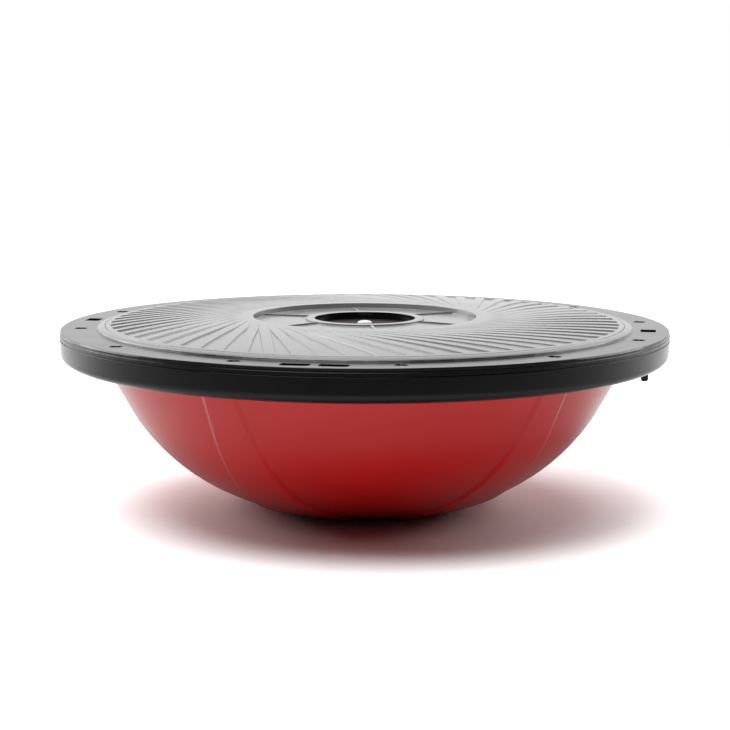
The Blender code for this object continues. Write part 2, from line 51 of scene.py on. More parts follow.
# World: the two edges between its dark side and its white side, as cosines from the way the camera looks,
# its strength on the dark side, and the share of it that lights matt surfaces
WORLD_EDGES = (-0.10, 0.65)
WORLD_DARK = 0.02
AMBIENT = 0.45

# Floor: its reach behind and to the sides, its reach towards the camera, its whiteness and its gloss
FLOOR_SIZE = 14
FLOOR_FRONT = 1.20
FLOOR_WHITE = 0.86
FLOOR_ROUGHNESS = 0.6
FLOOR_SPECULAR = 0.2

# Mirror images of the floor: white from MIRROR_REACH behind the object, falling off to black at the floor's
# front end, but near the object at least MIRROR_NEAR_SHARE of white, which fades between two radii
MIRROR_REACH = 0.50
MIRROR_FALL = 1.7
MIRROR_NEAR = (0.45, 0.90)
MIRROR_NEAR_SHARE = 0.4

# Glow that whitens the floor to the camera outside the shadow: it rises between two radii round a centre that
# lies to the right of the object's axis and in front of it
GLOW_CENTRE = (0.015, -0.030)
GLOW_EDGES = (0.165, 0.29)
GLOW_STRENGTH = 0.5

# Whole object: the gap between seated pieces, the wall thickness, the rounding of edges, the chamfer at holes
# and how far a cutter reaches past a face
GAP = 0.0003
WALL = 0.0030
EASE = 0.0005
HOLE_CHAMFER = 0.0003
CUT_OVER = 0.0020

# Flat ring and rim of the top plate: a sloped shoulder, a set-back step and an upright band. PLATE_UNDER is
# the ring's underside, and PARTING the lower end of the rim
PLATE_UNDER = -0.0045
PARTING = -0.0067
EDGE_LAND = 0.0012
EDGE_SLOPE = 0.0009
EDGE_FALL = 0.0018
EDGE_STEP = 0.0036
EDGE_BAND = 0.0009
EDGE_SETBACK = 0.0001
PARTING_REVEAL = 0.0006

# Crowned board, with its plain border and the bead past a thin groove, which steps down to the flat ring
CROWN_TOP = 0.0097
CROWN_DROP = 0.0113
BOARD_UNDER = 0.0010
BOARD_EDGE = 0.2543
BORDER_WIDTH = 0.0056
GROOVE_WIDTH = 0.0012
GROOVE_DEPTH = 0.0012
BEAD_WIDTH = 0.0063
BEAD_EDGE = 0.0017
BEAD_FALL = 0.0010

# Ridges, each a straight bar whose middle line touches the circle of RIDGE_TANGENT; the valleys between them
# are narrow near the recess, deepen over RIDGE_RUN_IN and end over RIDGE_RUN_OUT. RIDGE_SIDE and RIDGE_FALL
# are their rounded sides and ends, as pairs of the share of the way and the share of the depth
RIDGES = 62
RIDGE_TANGENT = 0.1001
RIDGE_WIDTH = 0.0089
RIDGE_HEIGHT = 0.0013
RIDGE_DRAFT = 0.0009
VALLEY_LEAST = 0.0022
RIDGE_PHASE = math.radians(2.24)
RIDGE_RUN_IN = 0.0250
RIDGE_RUN_OUT = 0.0010
RIDGE_SIDE = ((0.0, 0.0), (0.15, 0.04), (0.35, 0.25), (0.65, 0.75), (0.85, 0.96), (1.0, 1.0))
RIDGE_FALL = ((0.35, 0.75), (0.65, 0.25), (1.0, 0.0))

# Centre recess: the hole with its raised lip, the sloping floor with its spokes, and the plain band round it
HOLE_RADIUS = 0.0483
LIP_WIDTH = 0.0085
LIP_TOP = 0.0072
RECESS_RADIUS = 0.1072
RECESS_FLOOR = 0.0056
RECESS_FOOT = 0.0045
RECESS_SLANT = 0.0010
PLAIN_BAND = 0.0128
SPOKES = 6
SPOKE_TURN = math.radians(45)
SPOKE_WIDTH = 0.0024
SPOKE_HEIGHT = 0.0013

# Screws: each small domed head stands in a wider counterbore, and its cross is turned by HEAD_TURN_STEP from
# one screw to the next
SCREWS = 12
SCREW_INSET = 0.0200
SCREW_TURN = math.radians(15)
HEAD_RADIUS = 0.0022
HEAD_HEIGHT = 0.0027
HEAD_CLEARANCE = 0.0038
HEAD_TURN_STEP = math.radians(40)
COUNTERBORE_DEPTH = 0.0036
SHANK_RADIUS = 0.0020
SHANK_LENGTH = 0.0180
CROSS_LENGTH = 0.0026
CROSS_WIDTH = 0.0006
CROSS_DEPTH = 0.0006
POST_WALL = 0.0029

# Strap slots and band anchors: each anchor is a head in its own slot and a bow that hangs below the rim
STRAP_SLOT = (0.0256, 0.0150)
STRAP_CORNER = 0.0045
STRAP_INSET = 0.0180
STRAP_SPREAD = 0.0161
ANCHOR_SLOT = (0.0138, 0.0200)
ANCHOR_CORNER = 0.0015
ANCHOR_INSET = 0.0205
ANCHOR_HEAD_DEPTH = 0.0026
ANCHOR_HEAD_HEIGHT = 0.0026
ANCHOR_SIDE_GAP = 0.0006
BOW_SETBACK = 0.0024
BOW_THICK = 0.0071
BOW_BAR = 0.0050
BOW_CORNER = 0.0024
BOW_DROP = 0.0161

# Clamp ring: its wall leans in to the curl at the lower edge
CLAMP_WIDTH = 0.0404
CLAMP_UNDER = -0.0320
CURL_START = -0.0218
CURL_WIDTH = 0.0210
WALL_LEAN = 0.0010

# Dome: a straight pinched flank, then a curve to the flat contact patch, drawn by its two pulls. The bands
# widen towards the patch, but always leave FIELD_LEAST of plain skin between them. BAND_SIDE is their bevel,
# as pairs of the share of the way and the share of the height
SKIN = 0.0025
DOME_TOP = -0.0303
FLANGE_REACH = 0.0062
FLANGE_THICK = 0.0044
PATCH_RADIUS = 0.062
DOME_TILT = math.radians(29.2)
FLANK_LENGTH = 0.0531
SHOULDER_PULL = 0.0173
BELLY_PULL = 0.1067
DOME_FOOT = math.radians(4.2)
BANDS = 5
BAND_TURN = math.radians(-111.6)
BAND_HEIGHT = 0.0022
BAND_HALF_TOP = 0.0130
BAND_SPREAD = 0.163
BAND_BEVEL = 0.0055
BAND_SIDE = ((0.0, 0.0), (0.15, 0.10), (0.4, 0.42), (0.65, 0.78), (0.85, 0.95), (1.0, 1.0))
FIELD_LEAST = math.radians(6)
MEMBRANE_STATIONS = (0.33, 0.67)
VALVE_RADIUS = 0.0046
VALVE_BOSS = 0.0120
VALVE_DEPTH = 0.0090

# Air plug: its domed cap rests on the membrane, and its stem ends in a taper
CAP_RADIUS = 0.0070
CAP_HEIGHT = 0.0036
CAP_SIDE = 0.0014
PLUG_LENGTH = 0.0170
PLUG_TAPER = 0.0070
PLUG_TIP_RADIUS = 0.0030

# Shading: the least angle of a sharp edge, and how far large flat faces lead the smooth shading
SHARP_ANGLE = math.radians(35)
FLAT_WEIGHT = 90

# Materials: the share by which a plastic's colour drifts either way, and the roughness of the vinyl's coat
COLOUR_DRIFT = 0.12
COAT_ROUGHNESS = 0.25

# Fineness: how many points or steps each curve has
ROUND = 720
SMALL_ROUND = 48
POST_ROUND = 24
RIDGE_STEPS = 4
UNDER_STEPS = 4
EASE_STEPS = 5
RIM_ARC_STEPS = 4
FOOT_ARC_STEPS = 5
PLUG_ROUND = 96
HEAD_STEPS = 10
CAP_STEPS = 12
CURL_STEPS = 24
CURL_INNER_STEPS = 6
BOARD_STEPS = 16
BOW_STEPS = 32
CORNER_STEPS = 6
BAND_STEPS = 24
FIELD_STEPS = 109
FLANK_STEPS = 12
BELLY_STEPS = 36

# One whole turn
TURN = 2 * math.pi

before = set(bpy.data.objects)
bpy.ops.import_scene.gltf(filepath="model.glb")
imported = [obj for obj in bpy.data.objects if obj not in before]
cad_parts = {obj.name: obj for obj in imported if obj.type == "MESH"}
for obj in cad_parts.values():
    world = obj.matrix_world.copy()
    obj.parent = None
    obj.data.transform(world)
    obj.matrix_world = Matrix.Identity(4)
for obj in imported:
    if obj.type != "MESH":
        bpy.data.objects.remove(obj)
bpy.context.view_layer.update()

RIM_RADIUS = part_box("clamp_ring")[1].x
RING_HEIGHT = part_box("top_plate")[0].z - PARTING
BEAD_INNER = BOARD_EDGE - BEAD_WIDTH
RIDGE_START = RECESS_RADIUS + PLAIN_BAND
RIDGE_END = BEAD_INNER - BORDER_WIDTH
SCREW_CIRCLE = RIM_RADIUS - SCREW_INSET
STRAP_CIRCLE = RIM_RADIUS - STRAP_INSET
ANCHOR_CIRCLE = RIM_RADIUS - ANCHOR_INSET
BOW_CIRCLE = ANCHOR_CIRCLE - BOW_SETBACK
CLAMP_INNER = RIM_RADIUS - CLAMP_WIDTH
MEMBRANE_TOP = BOARD_UNDER - GAP
FLANGE_TOP = PLATE_UNDER - GAP
FLANGE_FOOT = FLANGE_TOP - FLANGE_THICK
NECK = CLAMP_INNER - GAP


def at(radius, angle, height):
    return Vector((radius * math.cos(angle), radius * math.sin(angle), height))


def circle(radius, height, steps, turn=0.0):
    """One ring of points round the Z axis; a radius of zero gives a single point."""
    if radius == 0:
        return [Vector((0, 0, height))]
    return [at(radius, turn + TURN * i / steps, height) for i in range(steps)]


def loft_body(rings, looped=False):
    """(points, faces) through rings of equal count, or single points, down the outer side first."""
    points = []
    starts = []
    for ring in rings:
        starts.append(len(points))
        points.extend(ring)
    pairs = list(zip(range(len(rings) - 1), range(1, len(rings))))
    if looped:
        pairs.append((len(rings) - 1, 0))
    faces = []
    for a, b in pairs:
        upper, lower = starts[a], starts[b]
        many = max(len(rings[a]), len(rings[b]))
        if many == 1:
            continue
        for i in range(many):
            j = (i + 1) % many
            if len(rings[a]) == 1:
                faces.append((upper, lower + i, lower + j))
            elif len(rings[b]) == 1:
                faces.append((lower, upper + j, upper + i))
            else:
                faces.append((lower + i, lower + j, upper + j, upper + i))
    return points, faces


def lathe_body(profile, steps):
    """(points, faces) of (radius, height) pairs that run down the outer side, revolved about Z."""
    return loft_body([circle(radius, height, steps) for radius, height in profile])


def prism(outline, low, high):
    """(points, faces) of an upright prism over an anticlockwise outline."""
    count = len(outline)
    points = [Vector((x, y, z)) for z in (low, high) for x, y in outline]
    sides = [(i, (i + 1) % count, count + (i + 1) % count, count + i) for i in range(count)]
    return points, [tuple(reversed(range(count))), tuple(range(count, 2 * count))] + sides


def flared_slot(length, width, corner):
    """A cutter for a slot through the flat ring, whose mouth widens by the chamfer at the ring's face."""
    levels = ((CUT_OVER, HOLE_CHAMFER + CUT_OVER), (-HOLE_CHAMFER, 0.0), (PLATE_UNDER - CUT_OVER, 0.0))
    rings = []
    for z, out in levels:
        outline = rounded_rectangle(length + 2 * out, width + 2 * out, corner + out)
        rings.append([Vector((x, y, z)) for x, y in outline])
    points, faces = loft_body(rings)
    count = len(rings[0])
    faces.append(tuple(range(count)))
    faces.append(tuple(reversed(range(2 * count, 3 * count))))
    return points, faces


def rectangle(length, width):
    x, y = length / 2, width / 2
    return [(x, y), (-x, y), (-x, -y), (x, -y)]


def rounded_rectangle(length, width, corner):
    outline = []
    for quarter, (sx, sy) in enumerate(((1, 1), (-1, 1), (-1, -1), (1, -1))):
        for step in range(CORNER_STEPS + 1):
            angle = math.pi / 2 * (quarter + step / CORNER_STEPS)
            outline.append((sx * (length / 2 - corner) + corner * math.cos(angle),
                            sy * (width / 2 - corner) + corner * math.sin(angle)))
    return outline


def placed(body, centre, turn=0.0):
    """The body turned about Z, then moved to centre."""
    points, faces = body
    spin = Matrix.Rotation(turn, 3, "Z")
    return [spin @ point + Vector(centre) for point in points], faces


def gather(name, bodies):
    """One object from several (points, faces) bodies, lifted from the ring's frame to the floor's."""
    points = []
    faces = []
    for body_points, body_faces in bodies:
        base = len(points)
        points.extend(point + Vector((0, 0, RING_HEIGHT)) for point in body_points)
        faces.extend(tuple(base + i for i in face) for face in body_faces)
    mesh = bpy.data.meshes.new(name)
    mesh.from_pydata([tuple(point) for point in points], [], faces)
    mesh.update()
    made = bpy.data.objects.new(name, mesh)
    bpy.context.scene.collection.objects.link(made)
    return made


def cut(target, changes):
    """Applies Booleans, given as (operation, bodies), and leaves no modifier or helper behind."""
    helpers = []
    for operation, bodies in changes:
        helper = gather(f"{target.name}_helper", bodies)
        change = target.modifiers.new(operation.lower(), "BOOLEAN")
        change.operation = operation
        change.solver = "EXACT"
        change.object = helper
        helpers.append(helper)
    graph = bpy.context.evaluated_depsgraph_get()
    whole = bpy.data.meshes.new_from_object(target.evaluated_get(graph))
    target.modifiers.clear()
    target.data = whole
    for helper in helpers:
        bpy.data.objects.remove(helper, do_unlink=True)


def dress(piece, surface, body, nodes):
    """Smooth shading that keeps flat faces flat, the material, and what the piece stands for."""
    for polygon in piece.data.polygons:
        polygon.use_smooth = True
    piece.data.set_sharp_from_angle(angle=SHARP_ANGLE)
    weights = piece.modifiers.new("weighted normals", "WEIGHTED_NORMAL")
    weights.keep_sharp = True
    weights.weight = FLAT_WEIGHT
    piece.data.materials.clear()
    piece.data.materials.append(surface)
    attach(piece, body)
    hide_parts(*nodes)


def crown(radius):
    """Height of the ridge tops over the flat ring."""
    return CROWN_TOP - CROWN_DROP * (radius / RIM_RADIUS) ** 4


def recess_floor(radius):
    """Height of the recess's floor, which slopes down from the lip to the foot of the wall."""
    lip = HOLE_RADIUS + LIP_WIDTH
    share = (radius - lip) / (RECESS_RADIUS - RECESS_SLANT - lip)
    return RECESS_FLOOR - (RECESS_FLOOR - RECESS_FOOT) * share


def board_under(radius):
    """Height of the board's underside, which the membrane follows."""
    share = (radius ** 2 - RECESS_RADIUS ** 2) / (RIDGE_END ** 2 - RECESS_RADIUS ** 2)
    return BOARD_UNDER - (BOARD_UNDER - PLATE_UNDER) * min(max(share, 0.0), 1.0)


def chord(radius):
    """Length of a ridge's middle line from where it touches its circle out to the radius."""
    return math.sqrt(radius ** 2 - RIDGE_TANGENT ** 2)


def ridge_angle(index, radius, offset):
    """Angle at which a line beside ridge number index crosses the radius; offset is from its middle line."""
    return RIDGE_PHASE + TURN * index / RIDGES + math.acos((RIDGE_TANGENT + offset) / radius)


def valley_sides(index, radius):
    """Angles of the two sides of the valley after ridge number index, always VALLEY_LEAST or more apart."""
    start = ridge_angle(index, radius, -RIDGE_WIDTH / 2)
    end = ridge_angle(index + 1, radius, RIDGE_WIDTH / 2)
    middle = (start + end) / 2
    half = max((end - start) / 2, VALLEY_LEAST / 2 / chord(radius))
    return middle - half, middle + half


def valley_depth(radius):
    return RIDGE_HEIGHT * min((radius - RIDGE_START) / RIDGE_RUN_IN, 1)


def ridge_ring(radius, depth):
    """The points round each valley: rounded near side, floor, rounded far side, and the next ridge's top."""
    top = crown(radius)
    foot = RIDGE_DRAFT / chord(radius)
    ring = []
    for index in range(RIDGES):
        start, end = valley_sides(index, radius)
        following = valley_sides(index + 1, radius)[0]
        marks = [(start + foot * along, share) for along, share in RIDGE_SIDE]
        marks += [(end - foot * along, share) for along, share in reversed(RIDGE_SIDE)]
        marks += [(end + (following - end) * step / RIDGE_STEPS, 0.0) for step in range(1, RIDGE_STEPS)]
        ring += [at(radius, angle, top - share * depth) for angle, share in marks]
    return ring


def even_ring(radius, height, like):
    """A ring at the angles of the ridge pattern at the given radius."""
    scale = radius / like
    return [Vector((point.x * scale, point.y * scale, height)) for point in ridge_ring(like, 0.0)]


def arc_profile(centre_r, centre_z, radius, start, end, steps):
    """Points of a quarter-round edge, from the start angle to the end angle in degrees."""
    angles = [math.radians(start + (end - start) * i / steps) for i in range(steps + 1)]
    return [(centre_r + radius * math.cos(angle), centre_z + radius * math.sin(angle)) for angle in angles]


def eased(corners):
    """Profile points from (radius, height, fillet) corners, each corner rounded off over its fillet."""
    profile = []
    for i, (radius, height, fillet) in enumerate(corners):
        here = Vector((radius, height))
        if fillet == 0:
            profile.append((radius, height))
            continue
        before = Vector(corners[i - 1][:2]) - here
        after = Vector(corners[i + 1][:2]) - here
        start = here + before.normalized() * min(fillet, before.length / 2)
        end = here + after.normalized() * min(fillet, after.length / 2)
        for step in range(EASE_STEPS + 1):
            t = step / EASE_STEPS
            profile.append(tuple((1 - t) ** 2 * start + 2 * t * (1 - t) * here + t * t * end))
    return profile


def centre_profile():
    """The hole's wall, its raised lip, the recess and the plain band of the board."""
    lip_outer = HOLE_RADIUS + LIP_WIDTH
    edge = RECESS_RADIUS + EASE
    middle = RECESS_RADIUS + PLAIN_BAND / 2
    return eased([
        (HOLE_RADIUS, BOARD_UNDER, 0),
        (HOLE_RADIUS, LIP_TOP, EASE),
        (lip_outer, LIP_TOP, EASE),
        (lip_outer + EASE / 2, RECESS_FLOOR, EASE / 2),
        (RECESS_RADIUS - RECESS_SLANT, RECESS_FOOT, EASE),
        (edge - EASE, crown(edge), EASE),
        (middle, crown(middle), 0),
    ])


def outside_profile():
    """The border, the thin groove, the bead, the flat ring and the rim's stepped edge."""
    inner = BEAD_INNER - GROOVE_WIDTH
    middle = BOARD_EDGE - BEAD_WIDTH / 2
    edge = RIM_RADIUS - EDGE_LAND
    step = RIM_RADIUS - EDGE_BAND
    skirt = RIM_RADIUS - EDGE_SETBACK
    return eased([
        (inner - EASE, crown(inner - EASE), 0),
        (inner, crown(inner), EASE / 2),
        (BEAD_INNER - GROOVE_WIDTH / 2, crown(BEAD_INNER) - GROOVE_DEPTH, EASE / 2),
        (BEAD_INNER, crown(BEAD_INNER), EASE),
        (middle, (crown(BEAD_INNER) + BEAD_EDGE + EASE) / 2 + EASE / 2, 2 * EASE),
        (BOARD_EDGE, BEAD_EDGE + EASE / 2, 2 * EASE),
        (BOARD_EDGE + BEAD_FALL / 2, EASE, EASE),
        (BOARD_EDGE + 2 * BEAD_FALL, 0.0, EASE),
        (edge - 2 * EASE, 0.0, 0),
        (edge, 0.0, EASE),
        (edge + EDGE_SLOPE, -EDGE_FALL, EASE),
        (step, -EDGE_FALL - EASE / 2, EASE / 2),
        (step, -EDGE_STEP, EASE / 2),
        (skirt, -EDGE_STEP - EASE / 2, EASE / 2),
        (skirt, PARTING, EASE / 2),
        (skirt - EASE, PARTING, 0),
    ])


def plate_rings():
    """Rings of the platform from the foot of its centre hole over the top and back along the underside."""
    rings = [even_ring(radius, height, RIDGE_START) for radius, height in centre_profile()]
    last = RIDGE_END - RIDGE_RUN_OUT
    for station in range(BOARD_STEPS + 1):
        radius = RIDGE_START + (last - RIDGE_START) * station / BOARD_STEPS
        rings.append(ridge_ring(radius, valley_depth(radius)))
    for along, share in RIDGE_FALL:
        radius = last + RIDGE_RUN_OUT * along
        rings.append(ridge_ring(radius, RIDGE_HEIGHT * share))
    rings += [even_ring(radius, height, RIDGE_END) for radius, height in outside_profile()]
    under = [(RIM_RADIUS - WALL, PARTING), (RIM_RADIUS - WALL - EASE, PLATE_UNDER), (RIDGE_END, PLATE_UNDER)]
    for step in range(1, UNDER_STEPS + 1):
        radius = RIDGE_END - (RIDGE_END - RECESS_RADIUS) * step / UNDER_STEPS
        under.append((radius, board_under(radius)))
    rings += [even_ring(radius, height, RIDGE_END) for radius, height in under]
    return rings


def screw_places():
    return [SCREW_TURN + TURN * i / SCREWS for i in range(SCREWS)]


def screw_hole_bodies():
    hole = SHANK_RADIUS + GAP
    bore = HEAD_RADIUS + HEAD_CLEARANCE
    foot = PLATE_UNDER - CUT_OVER
    profile = [(0, CUT_OVER), (bore + HOLE_CHAMFER + CUT_OVER, CUT_OVER), (bore, -HOLE_CHAMFER),
               (bore, -COUNTERBORE_DEPTH), (hole, -COUNTERBORE_DEPTH), (hole, foot), (0, foot)]
    cutter = lathe_body(profile, SMALL_ROUND)
    return [placed(cutter, at(SCREW_CIRCLE, place, 0)) for place in screw_places()]


def slot_bodies():
    strap = flared_slot(*STRAP_SLOT, STRAP_CORNER)
    anchor = flared_slot(*ANCHOR_SLOT, ANCHOR_CORNER)
    bodies = []
    for side in (-1, 1):
        bodies.append(placed(anchor, (side * ANCHOR_CIRCLE, 0, 0)))
        for place in (-1, 1):
            bodies.append(placed(strap, (place * STRAP_SPREAD, side * STRAP_CIRCLE, 0)))
    return bodies


def spoke_bodies():
    inner = HOLE_RADIUS + LIP_WIDTH - 2 * EASE
    outer = RECESS_RADIUS + 2 * EASE
    rib = prism(rectangle(outer - inner, SPOKE_WIDTH), -2 * EASE, SPOKE_HEIGHT)
    for point in rib[0]:
        point.z += recess_floor((inner + outer) / 2 + point.x)
    turns = [SPOKE_TURN + TURN * i / SPOKES for i in range(SPOKES)]
    return [placed(rib, at((inner + outer) / 2, turn, 0), turn) for turn in turns]


def make_platform(surface, black_rim_and_hole_shade_surface):
    """The top moulding: grey board and bead, black outside the bead's foot, and painted black shade in the
    hole.
    """
    plate = gather("platform", [loft_body(plate_rings(), looped=True)])
    holes = screw_hole_bodies() + slot_bodies()
    cut(plate, [("UNION", spoke_bodies()), ("DIFFERENCE", holes)])
    dress(plate, surface, "trainer", ["top_plate"])
    plate.data.materials.append(black_rim_and_hole_shade_surface)
    # Faces on the wall of the centre hole take the black as painted shade; faces outside the bead's foot are
    # the rim's own black
    for polygon in plate.data.polygons:
        reach = polygon.center.xy.length
        if reach > BOARD_EDGE + EASE / 2 or reach < HOLE_RADIUS + EASE / 4:
            polygon.material_index = 1


def channel_profile():
    """The clamp ring's section, from its top edge down the outer wall, round the curl and up the inside."""
    top = PARTING - GAP
    seat = FLANGE_FOOT - GAP
    curl_centre = RIM_RADIUS - WALL_LEAN - CURL_WIDTH
    curl_depth = CURL_START - CLAMP_UNDER
    floor = CLAMP_UNDER + WALL
    reveal = RIM_RADIUS - EDGE_BAND
    profile = [(reveal, top), (reveal, top - PARTING_REVEAL)]
    edge = EASE / 2
    profile += arc_profile(RIM_RADIUS - edge, top - PARTING_REVEAL - edge, edge, 90, 0, RIM_ARC_STEPS)
    for step in range(CURL_STEPS + 1):
        angle = math.pi / 2 * step / CURL_STEPS
        profile.append((curl_centre + CURL_WIDTH * math.cos(angle),
                        CURL_START - curl_depth * math.sin(angle)))
    heel = 2 * EASE
    profile += arc_profile(CLAMP_INNER + heel, CLAMP_UNDER + heel, heel, 270, 180, FOOT_ARC_STEPS)
    inside = CLAMP_INNER + WALL
    profile += [(CLAMP_INNER, seat), (inside, seat), (inside, floor), (curl_centre, floor)]
    for step in range(CURL_INNER_STEPS + 1):
        angle = math.pi / 2 * (1 - step / CURL_INNER_STEPS)
        profile.append((curl_centre + (CURL_WIDTH - WALL) * math.cos(angle),
                        CURL_START - (CURL_START - floor) * math.sin(angle)))
    profile.append((RIM_RADIUS - WALL, top))
    return profile


def make_channel(surface):
    rings = [circle(radius, height, ROUND) for radius, height in channel_profile()]
    ring = gather("rim_channel", [loft_body(rings, looped=True)])
    foot = CLAMP_UNDER + WALL / 2
    post = SHANK_RADIUS + GAP + POST_WALL
    post_body = lathe_body([(0, FLANGE_TOP), (post, FLANGE_TOP), (post, foot), (0, foot)], POST_ROUND)
    seat = -ANCHOR_HEAD_DEPTH - ANCHOR_HEAD_HEIGHT - GAP
    seat_body = prism(rectangle(ANCHOR_SLOT[0] + WALL, ANCHOR_SLOT[1] + WALL), foot, seat)
    bore = SHANK_RADIUS + GAP
    bore_foot = -COUNTERBORE_DEPTH - SHANK_LENGTH - CUT_OVER
    bore_top = FLANGE_TOP + CUT_OVER
    bore_body = lathe_body([(0, bore_top), (bore, bore_top), (bore, bore_foot), (0, bore_foot)], POST_ROUND)
    width = ANCHOR_SLOT[1] - 2 * ANCHOR_SIDE_GAP + 2 * GAP
    leg_body = prism(rectangle(BOW_THICK + 2 * GAP, width), CLAMP_UNDER - CUT_OVER, seat + CUT_OVER)
    places = [at(SCREW_CIRCLE, place, 0) for place in screw_places()]
    posts = [placed(post_body, place) for place in places]
    bores = [placed(bore_body, place) for place in places]
    for side in (-1, 1):
        posts.append(placed(seat_body, (side * ANCHOR_CIRCLE, 0, 0)))
        bores.append(placed(leg_body, (side * BOW_CIRCLE, 0, 0)))
    cut(ring, [("UNION", posts), ("DIFFERENCE", bores)])
    dress(ring, surface, "trainer", ["clamp_ring"])


def dome_profile():
    """(radius, height) of the dome's outer face, from the clamp ring down to the contact patch's edge."""
    start = Vector((NECK, DOME_TOP))
    down = Vector((-math.sin(DOME_TILT), -math.cos(DOME_TILT)))
    shoulder = start + FLANK_LENGTH * down
    patch = Vector((PATCH_RADIUS, -RING_HEIGHT))
    pulls = (shoulder, shoulder + SHOULDER_PULL * down,
             patch + BELLY_PULL * Vector((math.cos(DOME_FOOT), math.sin(DOME_FOOT))), patch)
    profile = [start + (shoulder - start) * step / FLANK_STEPS for step in range(FLANK_STEPS)]
    for step in range(BELLY_STEPS):
        t = step / BELLY_STEPS
        weights = ((1 - t) ** 3, 3 * t * (1 - t) ** 2, 3 * t * t * (1 - t), t ** 3)
        profile.append(sum((weight * pull for weight, pull in zip(weights, pulls)), Vector((0, 0))))
    return [tuple(point) for point in profile]


def profile_normals(profile):
    """Unit outward normal at each point of a profile that runs down the outer side."""
    normals = []
    for i in range(len(profile)):
        before = profile[max(i - 1, 0)]
        after = profile[min(i + 1, len(profile) - 1)]
        run = Vector((after[0] - before[0], after[1] - before[1])).normalized()
        normals.append((-run.y, run.x))
    return normals


def band_half(radius):
    """Half the width of a raised band, which grows towards the crown of the dome."""
    return BAND_HALF_TOP + (CLAMP_INNER - radius) * BAND_SPREAD


def dome_ring(radius, height, normal=(1, 0), rise=0.0):
    """One ring of the dome, its bands lifted by rise along the normal of the profile and always apart."""
    ring = []
    wide = max(radius, PATCH_RADIUS)
    bevel = BAND_BEVEL / wide
    half = min(band_half(wide) / wide, TURN / BANDS / 2 - bevel - FIELD_LEAST / 2)
    for sector in range(BANDS):
        middle = BAND_TURN + TURN * sector / BANDS
        marks = [(middle - half - bevel + bevel * along, share) for along, share in BAND_SIDE]
        marks += [(middle - half + 2 * half * step / BAND_STEPS, 1.0) for step in range(1, BAND_STEPS)]
        marks += [(middle + half + bevel - bevel * along, share) for along, share in reversed(BAND_SIDE)]
        start = middle + half + bevel
        end = middle + TURN / BANDS - half - bevel
        marks += [(start + (end - start) * step / FIELD_STEPS, 0.0) for step in range(1, FIELD_STEPS)]
        for angle, share in marks:
            ring.append(at(radius + share * rise * normal[0], angle, height + share * rise * normal[1]))
    return ring


def dome_rings():
    """Closed section of the skin: membrane, flange, outer face, contact patch and the inner face back up."""
    profile = dome_profile()
    normals = profile_normals(profile)
    flat = [(VALVE_RADIUS, MEMBRANE_TOP), (VALVE_BOSS, MEMBRANE_TOP), (RECESS_RADIUS, MEMBRANE_TOP)]
    for share in MEMBRANE_STATIONS:
        radius = RECESS_RADIUS + share * (RIDGE_END - RECESS_RADIUS)
        flat.append((radius, board_under(radius) - GAP))
    flat += [(RIDGE_END - 2 * EASE, FLANGE_TOP), (NECK + FLANGE_REACH, FLANGE_TOP),
             (NECK + FLANGE_REACH, FLANGE_FOOT), (NECK, FLANGE_FOOT)]
    rings = [dome_ring(radius, height) for radius, height in flat]
    for i, (radius, height) in enumerate(profile):
        level = (height + RING_HEIGHT) / BAND_HEIGHT / 2
        rings.append(dome_ring(radius, height, normals[i], BAND_HEIGHT * min(i, level, 1)))
    rings.append(dome_ring(PATCH_RADIUS, -RING_HEIGHT))
    rings.append([Vector((0, 0, -RING_HEIGHT))])
    inside = [(radius - SKIN * normal[0], height - SKIN * normal[1])
              for (radius, height), normal in zip(profile, normals)]
    inner = [(0, SKIN - RING_HEIGHT), (PATCH_RADIUS, SKIN - RING_HEIGHT)]
    inner += list(reversed(inside[1:]))
    far = RECESS_RADIUS + MEMBRANE_STATIONS[-1] * (RIDGE_END - RECESS_RADIUS)
    inner += [(NECK - SKIN, DOME_TOP), (NECK - SKIN, FLANGE_FOOT + EASE),
              (far, board_under(far) - GAP - SKIN),
              (RECESS_RADIUS, MEMBRANE_TOP - SKIN), (VALVE_BOSS + SKIN, MEMBRANE_TOP - SKIN),
              (VALVE_BOSS, MEMBRANE_TOP - VALVE_DEPTH), (VALVE_RADIUS, MEMBRANE_TOP - VALVE_DEPTH)]
    for radius, height in inner:
        rings.append(dome_ring(radius, height) if radius > 0 else [Vector((0, 0, height))])
    return rings


def make_dome(surface, membrane_shade_surface):
    """The inflated skin: red outside, with its membrane under the board painted near-black as shade."""
    skin = gather("dome_skin", [loft_body(dome_rings(), looped=True)])
    dress(skin, surface, "trainer", ["dome"])
    skin.data.materials.append(membrane_shade_surface)
    # Faces of the membrane and flange under the board take the near-black colour, which is painted shade
    for polygon in skin.data.polygons:
        if polygon.center.z > RING_HEIGHT + FLANGE_FOOT - SKIN:
            polygon.material_index = 1


def make_plug(surface):
    seat = MEMBRANE_TOP + GAP
    stem = VALVE_RADIUS - GAP
    rise = CAP_HEIGHT - CAP_SIDE
    profile = [(0, seat + CAP_HEIGHT)]
    for step in range(1, CAP_STEPS):
        angle = math.pi / 2 * step / CAP_STEPS
        profile.append((CAP_RADIUS * math.sin(angle), seat + CAP_SIDE + rise * math.cos(angle)))
    profile += [(CAP_RADIUS, seat + CAP_SIDE), (CAP_RADIUS, seat + EASE), (CAP_RADIUS - EASE, seat),
                (stem, seat), (stem, seat - PLUG_LENGTH + PLUG_TAPER), (PLUG_TIP_RADIUS, seat - PLUG_LENGTH),
                (0, seat - PLUG_LENGTH)]
    plug = gather("valve_plug", [lathe_body(profile, PLUG_ROUND)])
    dress(plug, surface, "plug", ["air_plug"])


def cross_outline():
    """A plus sign, anticlockwise."""
    long, short = CROSS_LENGTH / 2, CROSS_WIDTH / 2
    return [(long, short), (short, short), (short, long), (-short, long), (-short, short),
            (-long, short), (-long, -short), (-short, -short), (-short, -long), (short, -long),
            (short, -short), (long, -short)]


